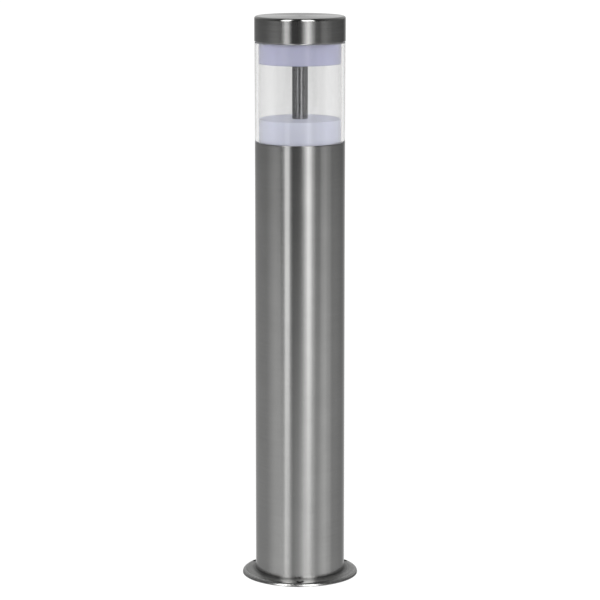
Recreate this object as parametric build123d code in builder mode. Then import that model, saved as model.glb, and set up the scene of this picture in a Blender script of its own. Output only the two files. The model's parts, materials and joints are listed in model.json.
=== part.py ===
from build123d import *
import os
from math import sqrt

# Garden bollard light: a stainless post welded to a round foot flange, with a clear lantern on top.
# The lantern is a stack on one hollow tie pipe: head casting, lower LED module, polished sleeve,
# upper LED module. The cap screws down on the pipe's end and clamps the clear lens tube.
# Frame: +Z up along the post, origin at the centre of the flange's foot, -Y to the front anchor hole.
# All sizes are in millimetres.

# ---- Driving dimensions: post and foot ----
overall_height = 478.0
post_od = 76.1
post_wall = 1.2
post_rim_round = 0.35  # deburred edge of the post's open end
post_foot_gap = 1.0  # the tube stops this far above the ground
flange_reach = 11.35  # how far the flange stands out past the post
flange_rise = 4.0  # top of the flange where it meets the post
flange_edge_rise = 2.6  # height at which the slope would reach the rim
flange_sheet = 1.5
flange_rim_round = 2.4  # outside radius of the turned-down rim
weld_leg = 2.0
anchor_count = 3
anchor_hole_d = 6.2
anchor_setback = 5.95  # from the post's face to the centre of each anchor hole

# ---- Driving dimensions: lantern ----
cap_height = 21.35
cap_overhang = 0.2
cap_sheet = 1.0
cap_top_round = 2.1
cap_foot_round = 0.8
cap_lip_gap = 0.5  # between the cap's inturned lip and the upper diffuser
lantern_opening = 83.65  # from the post's rim to the foot of the cap
lens_wall = 3.0
lens_inset = 0.1  # the lens stands this far inside the post's face
gasket_thickness = 0.5
gasket_inset = 0.6  # the gaskets stand this far inside both faces of the lens wall
diffuser_gap = 0.4  # between the lens bore and the diffusers
diffuser_wall = 2.0
diffuser_edge_round = 0.6
lower_diffuser_show = 19.4  # seen above the post's rim
upper_diffuser_show = 17.95  # seen below the cap
sleeve_wall = 1.4

# ---- Driving dimensions: tie pipe and its stack ----
pipe_d = 10.0
pipe_bore = 7.2
thread_pitch = 1.0
thread_depth = 0.5
pipe_thread_length = 24.0
pipe_tail = 5.0  # below the lower nut
pipe_end_gap = 2.0  # between the pipe's end and the cap's inside
pipe_clearance = 0.2  # radial, between the pipe and every plain hole round it
thread_clearance = 0.08  # radial, between pipe crests and nut bores
spacer_wall = 1.8
lead_window_d = 6.4  # side window in the pipe and upper spacer
lead_window_drop = 12.0  # below the upper carrier
nut_chamfer = 0.65  # in a nut's bore, at both ends
nut_wall = 2.0  # from the pipe's crests to the nut's flats
nut_thickness = 3.5
washer_width = 4.3
washer_thickness = 1.0
weld_nut_wall = 3.5
weld_nut_gap = 0.5  # between the upper nut and the cap's weld nut

# ---- Driving dimensions: head casting and LED modules ----
pocket_depth = 7.0  # how deep the lower diffuser sits below the post's rim
pocket_gap = 0.3
web_thickness = 4.0
carrier_rise = 4.35  # underside of the upper carrier above the cap's foot
carrier_thickness = 2.0
board_gap = 2.0  # between each LED board and its diffuser
board_thickness = 1.6
board_bore_gap = 0.5  # between the spacers and the boards' bores
board_screw_margin = 4.0
led_margin = 9.5
led_places = 12
led_size = (3.5, 2.8, 0.7)
lead_pitch_radius = 13.5  # where the leads meet each board
lead_hole_d = 7.0
connector_size = (8.0, 5.0, 4.0)

# ---- Driving dimensions: gear inside the post ----
tray_width = 32.0
tray_sheet = 1.5
tray_washer_gap = 0.5  # from the lower washer's edge to the front face of the tray
tray_bend_round = 2.0
tray_wall_gap = 1.0  # between the tray's top tab and the post bore
tray_tab_reach = 17.0  # how far the bottom tab stands in front of the axis
driver_drop = 28.0  # top of the driver below the web
driver_height = 90.0
driver_width = 30.0
driver_depth = 24.0
driver_wall = 1.8
driver_round = 1.5
driver_lid_thickness = 2.0
driver_lid_spigot = 1.5
driver_board_gap = 3.0  # standoff of the driver's board from the case back
driver_board_margin = 1.0  # between the driver's board and the case, all round
driver_screw_margin = 15.0
transformer_size = (16.0, 12.0, 18.0)
capacitor_d = 10.0
capacitor_length = 16.0
block_drop = 32.0  # top of the terminal block below the driver
block_height = 20.0
block_depth = 16.0
pole_pitch = 10.0
pole_inset = 7.0  # wire axis behind the block's front
insert_d = 5.2
insert_bore = 2.8
insert_end_gap = 2.0
clamp_margin = 5.0  # clamp screws from the block's ends
clamp_sink = 1.0  # clamp screws below the block's front
block_grip = 6.0
earth_drop = 14.0  # earth screw below the driver
earth_lug_r = 4.0
earth_lug_sheet = 0.8
earth_washer_r = 4.5
earth_washer_thickness = 1.0
earth_nut_across = 7.0
earth_nut_thickness = 3.2
lug_barrel_r = 1.6
lug_barrel_length = 6.0
lug_reach = 9.0  # from the lug's hole down to the foot of its barrel
gland_drop = 20.0  # tray's bottom tab below the terminal block
gland_thread_d = 16.0
gland_across = 22.0
gland_forward = 4.0  # gland axis in front of the post's axis
gland_bore = 10.6
gland_hex_height = 5.0
gland_upper_thread = 9.0
gland_lower_thread = 8.0
gland_hole_gap = 0.2
locknut_thickness = 4.0
seal_d = 12.8
seal_length = 9.0
seal_stand = 1.0  # how far the seal stands out of the gland body
seal_gap = 0.1
cable_bore = 9.0  # open bore of the gland's seal
gland_nut_gap = 0.5
gland_nut_end = 2.0
lead_d = 1.6
lead_bend = 5.0
lead_jog_rise = 7.0  # the lower leads run straight this far above the driver
lead_jog_gap = 0.5  # from the pipe's foot to the end of their jog
lower_lead_front = 7.0  # where the lower leads leave the driver, in front of the axis
mains_lead_spread = 6.0
mains_lead_front = 2.0
block_lead_rise = 8.0  # the mains leads run straight this far above the block
driver_lead_drop = 10.0  # and this far below the driver
earth_lead_rise = 1.0
earth_lead_drop = 4.0
earth_screw_end = 1.0  # thread left in front of the earth nut

# ---- Fits shared by every screw and insert ----
screw_clearance = 0.05  # radial, shank to tapped hole
hole_clearance = 0.2  # radial, shank to plain hole
seat_gap = 0.05  # radial, insert to block

# ---- Radii and levels that follow from them ----
post_r = post_od / 2
post_bore_r = post_r - post_wall
flange_r = post_r + flange_reach
cap_foot = overall_height - cap_height
post_top = cap_foot - lantern_opening
lens_r = post_r - lens_inset
lens_bore_r = lens_r - lens_wall
diffuser_r = lens_bore_r - diffuser_gap
diffuser_bore_r = diffuser_r - diffuser_wall
board_r = diffuser_bore_r - board_gap
cap_r = post_r + cap_overhang
cap_ceiling = overall_height - cap_sheet
pipe_r = pipe_d / 2
pipe_hole_r = pipe_r + pipe_clearance
sleeve_r = pipe_hole_r + sleeve_wall
spacer_r = pipe_hole_r + spacer_wall
washer_r = pipe_hole_r + washer_width
nut_across = pipe_d + 2 * nut_wall
weld_nut_across = pipe_d + 2 * weld_nut_wall
nut_bore_r = pipe_r + thread_clearance
web_top = post_top - pocket_depth
web_foot = web_top - web_thickness
lower_face = post_top + lower_diffuser_show
upper_face = cap_foot - upper_diffuser_show
carrier_foot = cap_foot + carrier_rise
carrier_top = carrier_foot + carrier_thickness
upper_nut_foot = carrier_top + washer_thickness
weld_nut_foot = upper_nut_foot + nut_thickness + weld_nut_gap
lower_nut_top = web_foot - washer_thickness
lower_nut_foot = lower_nut_top - nut_thickness
pipe_foot = lower_nut_foot - pipe_tail
pipe_top = cap_ceiling - pipe_end_gap
lead_window = carrier_foot - lead_window_drop
upper_board_foot = carrier_foot - board_thickness
lower_board_top = web_top + board_thickness
tray_front = washer_r + tray_washer_gap
tray_back = tray_front + tray_sheet
driver_top = web_foot - driver_drop
driver_foot = driver_top - driver_height
block_top = driver_foot - block_drop
block_foot = block_top - block_height
block_front = tray_front - block_depth
tab_top = block_foot - gland_drop
tab_foot = tab_top - tray_sheet
lead_r = lead_d / 2

driver_back = tray_front
pole_y = block_front + pole_inset
lead_seat_r = lead_r + seat_gap
board_screw_circle = board_r - board_screw_margin
led_circle = board_r - led_margin
pole_places = [(-pole_pitch, pole_y), (0, pole_y), (pole_pitch, pole_y)]
earth_level = driver_foot - earth_drop
gland_foot = tab_foot - gland_hex_height - gland_lower_thread

# Screw sizes: shank radius, head radius, head height, socket radius.
M3 = (1.5, 2.75, 2.0, 1.2)
M4 = (2.0, 3.8, 2.6, 1.6)


def save(piece, label):
    """Labels a finished piece and writes it as its own STEP file."""
    piece.part.label = label
    export_step(piece.part, f"parts/{label}.step")


def ring(inner_r, outer_r, foot, top):
    """A plain ring about the Z axis between two levels."""
    with BuildPart() as piece:
        with BuildSketch(Plane.XY.offset(foot)):
            Circle(outer_r)
            Circle(inner_r, mode=Mode.SUBTRACT)
        extrude(amount=top - foot)
    return piece


def turned(*points):
    """A solid of revolution about Z from its half outline, given as (radius, level) points."""
    with BuildPart() as piece:
        with BuildSketch(Plane.XZ):
            with BuildLine():
                Polyline(*points, close=True)
            make_face()
        revolve(axis=Axis.Z)
    return piece


def hex_nut(across, bore_r, foot, height, centre=(0, 0)):
    """A hexagon nut with its bore chamfered at both ends."""
    with BuildPart() as piece:
        with BuildSketch(Plane.XY.offset(foot)):
            with Locations(centre):
                RegularPolygon(across / 2, 6, major_radius=False)
        extrude(amount=height)
        with BuildSketch(Plane.XY.offset(foot)):
            with Locations(centre):
                Circle(bore_r)
        extrude(amount=height, mode=Mode.SUBTRACT)
        rims = piece.edges().filter_by(GeomType.CIRCLE).group_by(Axis.Z)
        chamfer(rims[0] + rims[-1], min(nut_chamfer, height / 8))
    return piece


def screw_set(seat, spots, size, grip):
    """Socket-head screws with their heads on the seat plane and their shanks grip deep below it."""
    shank_r, head_r, head_h, socket_r = size
    with BuildPart() as piece:
        with BuildSketch(seat):
            with Locations(*spots):
                Circle(head_r)
        extrude(amount=head_h)
        with BuildSketch(seat):
            with Locations(*spots):
                Circle(shank_r)
        extrude(amount=-grip)
        outward = Axis(seat.origin, seat.z_dir)
        fillet(piece.edges().filter_by(GeomType.CIRCLE).group_by(outward)[-1], head_h / 4)
        with BuildSketch(seat.offset(head_h)):
            with Locations(*spots):
                RegularPolygon(socket_r, 6)
        extrude(amount=-head_h / 2, mode=Mode.SUBTRACT)
    return piece


def lead(*points):
    """An insulated lead along straight runs joined by arcs as large as its shortest bend allows."""
    with BuildPart() as piece:
        with BuildLine() as route:
            FilletPolyline(*points, radius=lead_bend)
        start = Plane(origin=route.line @ 0, z_dir=route.line % 0)
        with BuildSketch(start):
            Circle(lead_r)
        sweep()
    return piece


def polar(radius, count, first=-90.0, skip=()):
    """Points on a circle in the XY plane, with the places in skip left out."""
    places = [Vector(radius, 0).rotate(Axis.Z, first + 360 * n / count) for n in range(count)]
    return [(p.X, p.Y) for n, p in enumerate(places) if n not in skip]


os.makedirs("parts", exist_ok=True)

# ---- Foot flange: a pressed dish with a turned-down rim, open in the middle for the post ----
flange_slope = (flange_rise - flange_edge_rise) / flange_reach
under_rise = flange_sheet * sqrt(1 + flange_slope**2)
rim_under = flange_edge_rise + flange_slope * flange_sheet - under_rise
with BuildPart() as base_flange:
    with BuildSketch(Plane.XZ) as dish:
        with BuildLine():
            Polyline(
                (post_r, flange_rise),
                (flange_r, flange_edge_rise),
                (flange_r, 0),
                (flange_r - flange_sheet, 0),
                (flange_r - flange_sheet, rim_under),
                (post_r, flange_rise - under_rise),
                close=True,
            )
        make_face()
        shoulder = dish.vertices().group_by(Axis.X)[-1].sort_by(Axis.Y)[-1]
        armpit = dish.vertices().sort_by_distance((flange_r - flange_sheet, rim_under))[0]
        fillet(shoulder, flange_rim_round)
        fillet(armpit, flange_rim_round - flange_sheet)
    revolve(axis=Axis.Z)
    with Locations(*polar(post_r + anchor_setback, anchor_count)):
        Hole(anchor_hole_d / 2)
save(base_flange, "base_flange")

# ---- Weld bead under the flange, all round the post ----
bead_top = flange_rise - under_rise
flange_weld = turned(
    (post_r, post_foot_gap),
    (post_r + weld_leg, bead_top - flange_slope * weld_leg),
    (post_r, bead_top),
)
save(flange_weld, "flange_weld")

# ---- Post: one length of tube, deburred at the rim ----
with BuildPart() as post_tube:
    with BuildSketch(Plane.XY.offset(post_foot_gap)):
        Circle(post_r)
        Circle(post_bore_r, mode=Mode.SUBTRACT)
    extrude(amount=post_top - post_foot_gap)
    rim = post_tube.edges().group_by(Axis.Z)[-1].sort_by(SortBy.LENGTH)[-1]
    fillet(rim, post_rim_round)
save(post_tube, "post_tube")

# ---- Head casting: a cup fixed in the post's mouth that carries the whole lantern ----
tab_back = sqrt(post_bore_r**2 - (tray_width / 2) ** 2) - tray_wall_gap
tray_screws_at = [(side * tray_width / 4, (tray_back + tab_back) / 2) for side in (-1, 1)]
board_screws_at = polar(board_screw_circle, 3)
with BuildPart() as head_casting:
    with BuildSketch(Plane.XY.offset(web_foot)):
        Circle(post_bore_r)
    extrude(amount=post_top - web_foot)
    with BuildSketch(Plane.XY.offset(web_top)):
        Circle(diffuser_r + pocket_gap)
    extrude(amount=pocket_depth, mode=Mode.SUBTRACT)
    with BuildSketch(Plane.XY.offset(web_foot)):
        Circle(pipe_hole_r)
        with Locations((0, -lead_pitch_radius)):
            Circle(lead_hole_d / 2)
        with Locations(*board_screws_at):
            Circle(M3[0] + screw_clearance)
        with Locations(*tray_screws_at):
            Circle(M4[0] + screw_clearance)
    extrude(amount=web_thickness, mode=Mode.SUBTRACT)
save(head_casting, "head_casting")

# ---- Lens tube and its two flat gaskets ----
lens_foot = post_top + gasket_thickness
lens_top = cap_foot - gasket_thickness
gasket_r = lens_r - gasket_inset
gasket_bore_r = lens_bore_r + gasket_inset
save(ring(gasket_bore_r, gasket_r, post_top, lens_foot), "lens_foot_gasket")
save(ring(lens_bore_r, lens_r, lens_foot, lens_top), "clear_lens")
save(ring(gasket_bore_r, gasket_r, lens_top, cap_foot), "cap_gasket")

# ---- Cap: a drawn cup with its foot turned in, and a weld nut under its top ----
cap_lip_r = diffuser_r + cap_lip_gap
with BuildPart() as top_cap:
    with BuildSketch(Plane.XZ) as cup:
        with BuildLine():
            Polyline(
                (0, overall_height),
                (cap_r, overall_height),
                (cap_r, cap_foot),
                (cap_lip_r, cap_foot),
                (cap_lip_r, cap_foot + cap_sheet),
                (cap_r - cap_sheet, cap_foot + cap_sheet),
                (cap_r - cap_sheet, cap_ceiling),
                (0, cap_ceiling),
                close=True,
            )
        make_face()
        outside = cup.vertices().group_by(Axis.X)[-1].sort_by(Axis.Y)
        inside = cup.vertices().sort_by_distance((cap_r - cap_sheet, cap_ceiling))[0]
        fillet(outside[-1], cap_top_round)
        fillet(outside[0], cap_foot_round)
        fillet(inside, cap_top_round - cap_sheet)
    revolve(axis=Axis.Z)
save(top_cap, "top_cap")
save(hex_nut(weld_nut_across, nut_bore_r, weld_nut_foot, cap_ceiling - weld_nut_foot), "cap_weld_nut")


# ---- Tie pipe: hollow, threaded at both ends, with a side window for the upper leads ----
def thread_outline(foot, top):
    """The half outline of a threaded stretch, as crests and roots up the Z axis."""
    turns = int((top - foot) / thread_pitch)
    root_r = pipe_r - thread_depth
    points = [(root_r, foot)]
    for turn in range(turns):
        points.append((pipe_r, foot + (turn + 0.5) * thread_pitch))
        points.append((root_r, foot + (turn + 1) * thread_pitch))
    return points


lower_thread = thread_outline(pipe_foot, pipe_foot + pipe_thread_length)
upper_thread = thread_outline(pipe_top - pipe_thread_length, pipe_top)
with BuildPart() as tie_pipe:
    with BuildSketch(Plane.XZ):
        with BuildLine():
            Polyline(
                (pipe_bore / 2, pipe_foot),
                *lower_thread,
                *upper_thread,
                (pipe_bore / 2, pipe_top),
                close=True,
            )
        make_face()
    revolve(axis=Axis.Z)
    with BuildSketch(Plane.XZ):
        with Locations((0, lead_window)):
            Circle(lead_window_d / 2)
    extrude(amount=pipe_d, mode=Mode.SUBTRACT)
save(tie_pipe, "tie_pipe")

# ---- What is threaded on the pipe ----
save(ring(pipe_hole_r, sleeve_r, lower_face, upper_face), "rod_sleeve")
save(ring(pipe_hole_r, spacer_r, web_top, lower_face - diffuser_wall), "lower_spacer")
with BuildPart() as upper_spacer:
    with BuildSketch(Plane.XY.offset(upper_face + diffuser_wall)):
        Circle(spacer_r)
        Circle(pipe_hole_r, mode=Mode.SUBTRACT)
    extrude(amount=carrier_foot - upper_face - diffuser_wall)
    with BuildSketch(Plane.XZ):
        with Locations((0, lead_window)):
            Circle(lead_window_d / 2)
    extrude(amount=2 * spacer_r, mode=Mode.SUBTRACT)
save(upper_spacer, "upper_spacer")
save(ring(pipe_hole_r, washer_r, carrier_top, upper_nut_foot), "upper_washer")
save(hex_nut(nut_across, nut_bore_r, upper_nut_foot, nut_thickness), "upper_nut")
save(ring(pipe_hole_r, washer_r, lower_nut_top, web_foot), "lower_washer")
save(hex_nut(nut_across, nut_bore_r, lower_nut_foot, nut_thickness), "lower_nut")

# ---- Diffusers: two opal cups, the lower one mouth down and the upper one mouth up ----
def diffuser(face, mouth):
    """An opal cup with its flat face at one level and its open mouth at the other."""
    inward = diffuser_wall if mouth > face else -diffuser_wall
    with BuildPart() as cup:
        with BuildSketch(Plane.XZ) as outline:
            with BuildLine():
                Polyline(
                    (pipe_hole_r, face),
                    (diffuser_r, face),
                    (diffuser_r, mouth),
                    (diffuser_bore_r, mouth),
                    (diffuser_bore_r, face + inward),
                    (pipe_hole_r, face + inward),
                    close=True,
                )
            make_face()
            rim_corner = outline.vertices().group_by(Axis.X)[-1].sort_by_distance((0, face))[0]
            fillet(rim_corner, diffuser_edge_round)
        revolve(axis=Axis.Z)
    return cup


save(diffuser(lower_face, web_top), "lower_diffuser")
save(diffuser(upper_face, carrier_foot), "upper_diffuser")

# ---- Upper carrier: the disc that the upper LED board is screwed to ----
with BuildPart() as upper_carrier:
    with BuildSketch(Plane.XY.offset(carrier_foot)):
        Circle(diffuser_r)
        Circle(pipe_hole_r, mode=Mode.SUBTRACT)
        with Locations(*board_screws_at):
            Circle(M3[0] + screw_clearance, mode=Mode.SUBTRACT)
    extrude(amount=carrier_thickness)
save(upper_carrier, "upper_carrier")

# ---- LED boards, their LEDs, screws and lead connectors ----
lead_spread = lead_d / 2 + 0.3


def led_board(foot):
    """A round board with a centre bore, three screw holes and a slot for its leads."""
    with BuildPart() as board:
        with BuildSketch(Plane.XY.offset(foot)):
            Circle(board_r)
            Circle(spacer_r + board_bore_gap, mode=Mode.SUBTRACT)
            with Locations(*board_screws_at):
                Circle(M3[0] + hole_clearance, mode=Mode.SUBTRACT)
            with Locations((0, -lead_pitch_radius)):
                SlotOverall(connector_size[0] - 2, 2 * (lead_r + hole_clearance), mode=Mode.SUBTRACT)
        extrude(amount=board_thickness)
    return board


def led_ring(foot):
    """Twelve surface-mount LEDs on one circle."""
    length, width, height = led_size
    with BuildPart() as leds:
        with BuildSketch(Plane.XY.offset(foot)):
            with PolarLocations(led_circle, led_places, start_angle=90):
                Rectangle(width, length)
        extrude(amount=height)
    return leds


def connector(foot):
    """The push-in connector that both leads of a board end in."""
    length, width, height = connector_size
    with BuildPart() as block:
        with BuildSketch(Plane.XY.offset(foot)):
            with Locations((0, -lead_pitch_radius)):
                Rectangle(length, width)
        extrude(amount=height)
        chamfer(block.edges().filter_by(Axis.Z), width / 8)
    return block


board_seat_up = Plane.XY.offset(lower_board_top)
board_seat_down = Plane(origin=(0, 0, upper_board_foot), x_dir=(1, 0, 0), z_dir=(0, 0, -1))
mirrored_screws = [(x, -y) for x, y in board_screws_at]
upper_connector_foot = upper_board_foot - connector_size[2]
lower_grip = board_thickness + web_thickness - hole_clearance
save(led_board(web_top), "lower_led_board")
save(led_board(upper_board_foot), "upper_led_board")
save(led_ring(lower_board_top), "lower_leds")
save(led_ring(upper_board_foot - led_size[2]), "upper_leds")
save(connector(lower_board_top), "lower_connector")
save(connector(upper_connector_foot), "upper_connector")
save(screw_set(board_seat_up, board_screws_at, M3, lower_grip), "lower_board_screws")
upper_grip = board_thickness + carrier_thickness
save(screw_set(board_seat_down, mirrored_screws, M3, upper_grip), "upper_board_screws")

# ---- Gear tray: one bent sheet, hung under the head casting by its top tab ----
driver_screw_levels = (driver_foot + driver_screw_margin, driver_top - driver_screw_margin)
block_middle = (block_top + block_foot) / 2
with BuildPart() as gear_tray:
    with BuildSketch(Plane.YZ) as fold:
        with BuildLine():
            Polyline(
                (tab_back, web_foot),
                (tray_front, web_foot),
                (tray_front, tab_top),
                (-tray_tab_reach, tab_top),
                (-tray_tab_reach, tab_foot),
                (tray_back, tab_foot),
                (tray_back, web_foot - tray_sheet),
                (tab_back, web_foot - tray_sheet),
                close=True,
            )
        make_face()
        front_corners = fold.vertices().filter_by_position(Axis.X, tray_front, tray_front)
        back_corners = fold.vertices().filter_by_position(Axis.X, tray_back, tray_back)
        outer_bends = [front_corners.sort_by(Axis.Y)[-1], back_corners.sort_by(Axis.Y)[0]]
        inner_bends = [front_corners.sort_by(Axis.Y)[0], back_corners.sort_by(Axis.Y)[-1]]
        fillet(inner_bends, tray_bend_round)
        fillet(outer_bends, tray_bend_round + tray_sheet)
    extrude(amount=tray_width / 2, both=True)
    with BuildSketch(Plane.XY.offset(web_foot)):
        with Locations(*tray_screws_at):
            Circle(M4[0] + hole_clearance)
    extrude(amount=-tray_sheet, mode=Mode.SUBTRACT)
    with BuildSketch(Plane.XY.offset(tab_top)):
        with Locations((0, -gland_forward)):
            Circle(gland_thread_d / 2 + gland_hole_gap)
    extrude(amount=-tray_sheet, mode=Mode.SUBTRACT)
    with BuildSketch(Plane.XZ.offset(-tray_back)):
        with Locations((0, driver_screw_levels[0]), (0, driver_screw_levels[1])):
            Circle(M3[0] + hole_clearance)
        with Locations((-pole_pitch / 2, block_middle), (pole_pitch / 2, block_middle)):
            Circle(M3[0] + hole_clearance)
        with Locations((0, earth_level)):
            Circle(M4[0] + hole_clearance)
    extrude(amount=tray_sheet, mode=Mode.SUBTRACT)
save(gear_tray, "gear_tray")
tray_seat = Plane(origin=(0, 0, web_foot - tray_sheet), x_dir=(1, 0, 0), z_dir=(0, 0, -1))
tray_grip = tray_sheet + web_thickness - hole_clearance
save(screw_set(tray_seat, [(x, -y) for x, y in tray_screws_at], M4, tray_grip), "tray_screws")
rear_seat = Plane(origin=(0, tray_back, 0), x_dir=(-1, 0, 0), z_dir=(0, 1, 0))

# ---- LED driver: a case with a snap-in lid, and the board and parts inside it ----
driver_mid_y = driver_back - driver_depth / 2
case_rim = driver_top - driver_lid_thickness
case_bore = (driver_width - 2 * driver_wall, driver_depth - 2 * driver_wall)
mains_leads_at = [(-mains_lead_spread, -mains_lead_front), (mains_lead_spread, -mains_lead_front)]
upper_leads_at = [(-lead_spread, 0), (lead_spread, 0)]
lower_leads_from = [(-lead_spread, -lower_lead_front), (lead_spread, -lower_lead_front)]
with BuildPart() as driver_case:
    with BuildSketch(Plane.XY.offset(driver_foot)):
        with Locations((0, driver_mid_y)):
            RectangleRounded(driver_width, driver_depth, driver_round)
    extrude(amount=case_rim - driver_foot)
    with BuildSketch(Plane.XY.offset(case_rim)):
        with Locations((0, driver_mid_y)):
            Rectangle(*case_bore)
    extrude(amount=driver_foot + driver_wall - case_rim, mode=Mode.SUBTRACT)
    with BuildSketch(Plane.XY.offset(driver_foot)):
        with Locations(*mains_leads_at):
            Circle(lead_seat_r)
    extrude(amount=driver_wall, mode=Mode.SUBTRACT)
    with BuildSketch(Plane.XZ.offset(-driver_back)):
        with Locations((0, driver_screw_levels[0]), (0, driver_screw_levels[1])):
            Circle(M3[0] + screw_clearance)
    extrude(amount=driver_wall, mode=Mode.SUBTRACT)
save(driver_case, "driver_case")

with BuildPart() as driver_lid:
    with BuildSketch(Plane.XY.offset(case_rim)):
        with Locations((0, driver_mid_y)):
            RectangleRounded(driver_width, driver_depth, driver_round)
    extrude(amount=driver_lid_thickness)
    with BuildSketch(Plane.XY.offset(case_rim)):
        with Locations((0, driver_mid_y)):
            Rectangle(case_bore[0] - 2 * seat_gap, case_bore[1] - 2 * seat_gap)
    extrude(amount=-driver_lid_spigot)
    with BuildSketch(Plane.XY.offset(driver_top)):
        with Locations(*upper_leads_at, *lower_leads_from):
            Circle(lead_seat_r)
    extrude(amount=-driver_lid_thickness - driver_lid_spigot, mode=Mode.SUBTRACT)
save(driver_lid, "driver_lid")

board_back = driver_back - driver_wall - driver_board_gap
board_front = board_back - board_thickness
driver_board_foot = driver_foot + driver_wall + driver_board_margin
driver_board_top = case_rim - driver_lid_spigot - driver_board_margin
with BuildPart() as driver_board:
    with BuildSketch(Plane.XZ.offset(-board_back)):
        with Locations((0, (driver_board_foot + driver_board_top) / 2)):
            Rectangle(case_bore[0] - 2 * driver_board_margin, driver_board_top - driver_board_foot)
    extrude(amount=board_thickness)
save(driver_board, "driver_board")

coil_width, coil_depth, coil_height = transformer_size
with BuildPart() as driver_transformer:
    with BuildSketch(Plane.XZ.offset(-board_front)):
        with Locations((0, (driver_foot + driver_top) / 2)):
            Rectangle(coil_width, coil_height)
    extrude(amount=coil_depth)
    chamfer(driver_transformer.edges().filter_by(Axis.Y), coil_width / 10)
save(driver_transformer, "driver_transformer")

capacitor_y = board_front - capacitor_d / 2
driver_middle = (driver_foot + driver_top) / 2
capacitor_levels = (driver_middle + coil_height, driver_middle - coil_height)
with BuildPart() as driver_capacitors:
    with BuildSketch(Plane.YZ):
        with Locations(*[(capacitor_y, level) for level in capacitor_levels]):
            Circle(capacitor_d / 2)
    extrude(amount=capacitor_length / 2, both=True)
    fillet(driver_capacitors.edges().filter_by(GeomType.CIRCLE), capacitor_d / 12)
save(driver_capacitors, "driver_capacitors")

driver_spots = [(0, level) for level in driver_screw_levels]
save(screw_set(rear_seat, driver_spots, M3, tray_sheet + driver_wall), "driver_screws")

# ---- Terminal block, its three brass inserts, clamp screws and fixings ----
block_mid_y = tray_front - block_depth / 2
clamp_levels = (block_foot + clamp_margin, block_top - clamp_margin)
clamp_spots = [(x, level) for x, y in pole_places for level in clamp_levels]
block_width = pole_pitch * len(pole_places)
fixing_spots = [(-pole_pitch / 2, block_middle), (pole_pitch / 2, block_middle)]
with BuildPart() as terminal_block:
    with BuildSketch(Plane.XY.offset(block_foot)):
        with Locations((0, block_mid_y)):
            Rectangle(block_width, block_depth)
        with Locations(*pole_places):
            Circle(insert_d / 2 + seat_gap, mode=Mode.SUBTRACT)
    extrude(amount=block_height)
    with BuildSketch(Plane.XZ.offset(-block_front)):
        with Locations(*clamp_spots):
            Circle(M3[0] + seat_gap)
    extrude(amount=-pole_inset, mode=Mode.SUBTRACT)
    with BuildSketch(Plane.XZ.offset(-tray_front)):
        with Locations(*fixing_spots):
            Circle(M3[0] + screw_clearance)
    extrude(amount=block_grip, mode=Mode.SUBTRACT)
save(terminal_block, "terminal_block")

insert_foot = block_foot + insert_end_gap
with BuildPart() as terminal_inserts:
    with BuildSketch(Plane.XY.offset(insert_foot)):
        with Locations(*pole_places):
            Circle(insert_d / 2)
            Circle(insert_bore / 2, mode=Mode.SUBTRACT)
    extrude(amount=block_height - 2 * insert_end_gap)
    with BuildSketch(Plane.XZ.offset(-block_front)):
        with Locations(*clamp_spots):
            Circle(M3[0] + screw_clearance)
    extrude(amount=-pole_inset, mode=Mode.SUBTRACT)
save(terminal_inserts, "terminal_inserts")

clamp_length = pole_inset - clamp_sink - lead_seat_r
with BuildPart() as terminal_screws:
    with BuildSketch(Plane.XZ.offset(-block_front - clamp_sink)):
        with Locations(*clamp_spots):
            Circle(M3[0])
    extrude(amount=-clamp_length)
    with BuildSketch(Plane.XZ.offset(-block_front - clamp_sink)):
        with Locations(*clamp_spots):
            Rectangle(M3[1], M3[0] / 3)
    extrude(amount=-M3[0] / 2, mode=Mode.SUBTRACT)
save(terminal_screws, "terminal_screws")
block_spots = [(-x, level) for x, level in fixing_spots]
block_fixing_grip = tray_sheet + block_grip - hole_clearance
save(screw_set(rear_seat, block_spots, M3, block_fixing_grip), "terminal_fixings")

# ---- Earth screw with its lug, washer and nut ----
lug_front = tray_front - earth_lug_sheet
washer_front = lug_front - earth_washer_thickness
nut_front = washer_front - earth_nut_thickness
barrel_y = tray_front - lug_barrel_r
barrel_foot = earth_level - lug_reach
earth_grip = tray_back - nut_front + earth_screw_end
save(screw_set(rear_seat, [(0, earth_level)], M4, earth_grip), "earth_screw")
with BuildPart() as earth_lug:
    with BuildSketch(Plane.XZ.offset(-tray_front)):
        with Locations((0, earth_level)):
            Circle(earth_lug_r)
        with Locations((0, (earth_level + barrel_foot) / 2)):
            Rectangle(2 * lug_barrel_r, earth_level - barrel_foot)
    extrude(amount=earth_lug_sheet)
    with BuildSketch(Plane.XY.offset(barrel_foot)):
        with Locations((0, barrel_y)):
            Circle(lug_barrel_r)
    extrude(amount=lug_barrel_length - lug_barrel_r)
    with BuildSketch(Plane.XZ.offset(-tray_front)):
        with Locations((0, earth_level)):
            Circle(M4[0] + hole_clearance)
    extrude(amount=earth_lug_sheet, mode=Mode.SUBTRACT)
    with BuildSketch(Plane.XY.offset(barrel_foot)):
        with Locations((0, barrel_y)):
            Circle(lead_seat_r)
    extrude(amount=lug_barrel_length - lug_barrel_r, mode=Mode.SUBTRACT)
save(earth_lug, "earth_lug")
with BuildPart() as earth_washer:
    with BuildSketch(Plane.XZ.offset(-lug_front)):
        with Locations((0, earth_level)):
            Circle(earth_washer_r)
            Circle(M4[0] + hole_clearance, mode=Mode.SUBTRACT)
    extrude(amount=earth_washer_thickness)
save(earth_washer, "earth_washer")
with BuildPart() as earth_nut:
    with BuildSketch(Plane.XZ.offset(-washer_front)):
        with Locations((0, earth_level)):
            RegularPolygon(earth_nut_across / 2, 6, major_radius=False)
            Circle(M4[0] + screw_clearance, mode=Mode.SUBTRACT)
    extrude(amount=earth_nut_thickness)
save(earth_nut, "earth_nut")

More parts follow.
